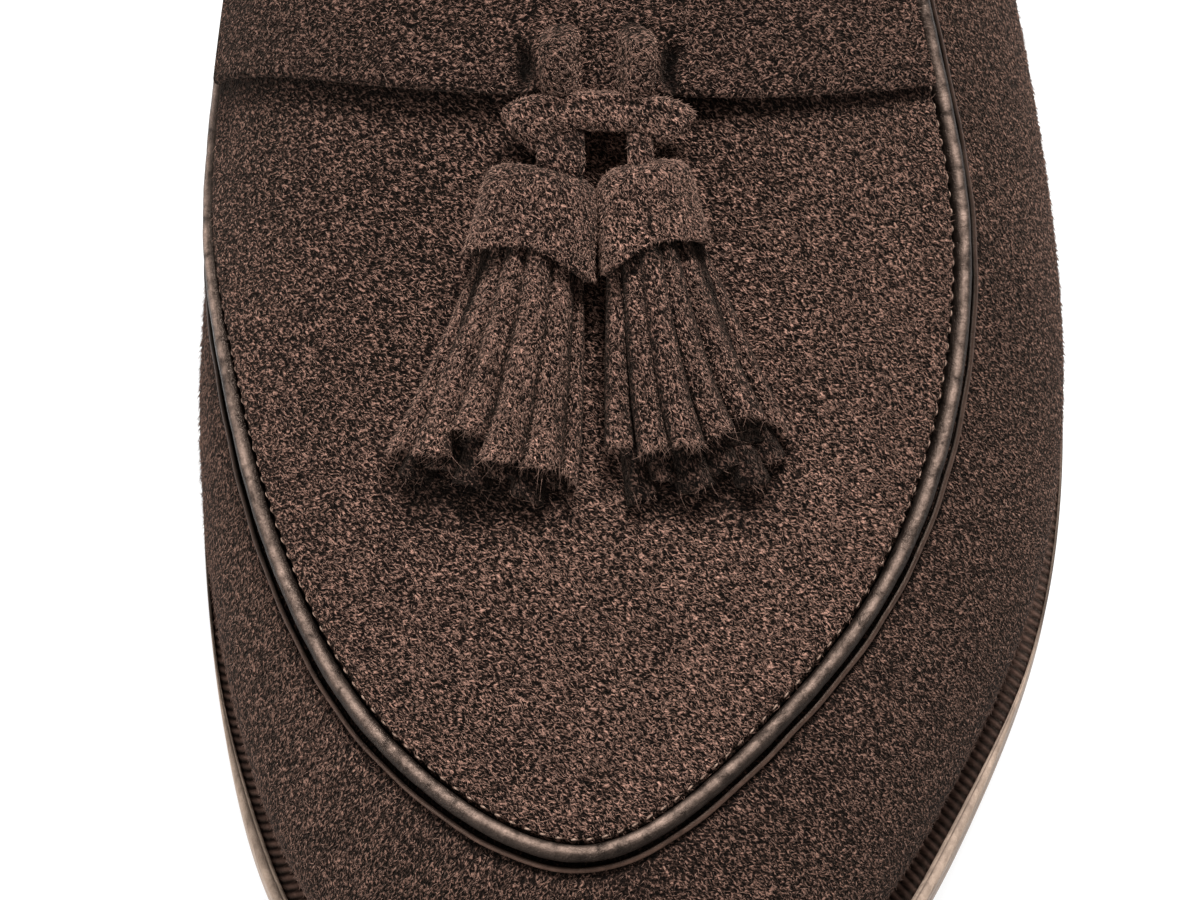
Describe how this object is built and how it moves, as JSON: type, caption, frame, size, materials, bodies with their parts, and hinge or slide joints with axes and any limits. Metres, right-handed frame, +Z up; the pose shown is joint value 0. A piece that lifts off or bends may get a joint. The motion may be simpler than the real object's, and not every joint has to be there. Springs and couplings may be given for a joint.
{
  "type": "tassel loafer",
  "caption": "Left slip-on shoe in brown suede with a piped apron, a saddle strap, a tied thong with tassels and a stitched leather sole with a low stacked heel.",
  "frame": {"origin": "centre of the footprint of the whole shoe, on the floor it stands on", "axes": "+Z up, +Y from toe to heel, +X to the outer side of this left shoe"},
  "size_m": [0.1065, 0.2977, 0.0897],
  "materials": {
    "brown_suede": "matte napped suede",
    "apron_suede": "matte napped suede, a little lighter",
    "tassel_suede": "matte napped suede, cut edges",
    "smooth_leather": "satin smooth leather",
    "welt_leather": "dark waxed leather",
    "sole_leather": "pale burnished leather edge",
    "heel_leather": "dark stained stacked leather",
    "heel_rubber": "matte rubber",
    "insole_leather": "plain tan leather"
  },
  "bodies": {
    "root": {"outsole": "sole_leather", "welt": "welt_leather", "heel_lift_1": "heel_leather", "heel_lift_2": "heel_leather", "heel_lift_3": "heel_leather", "top_lift": "heel_rubber", "insole": "insole_leather", "upper": "brown_suede", "apron": "apron_suede", "tongue": "apron_suede", "strap": "brown_suede", "piping": "smooth_leather", "topline_binding": "smooth_leather", "back_strip": "brown_suede", "thong_medial": "tassel_suede", "thong_lateral": "tassel_suede", "knot_band": "tassel_suede", "tassel_medial": "tassel_suede", "tassel_lateral": "tassel_suede"}
  },
  "joints": []
}
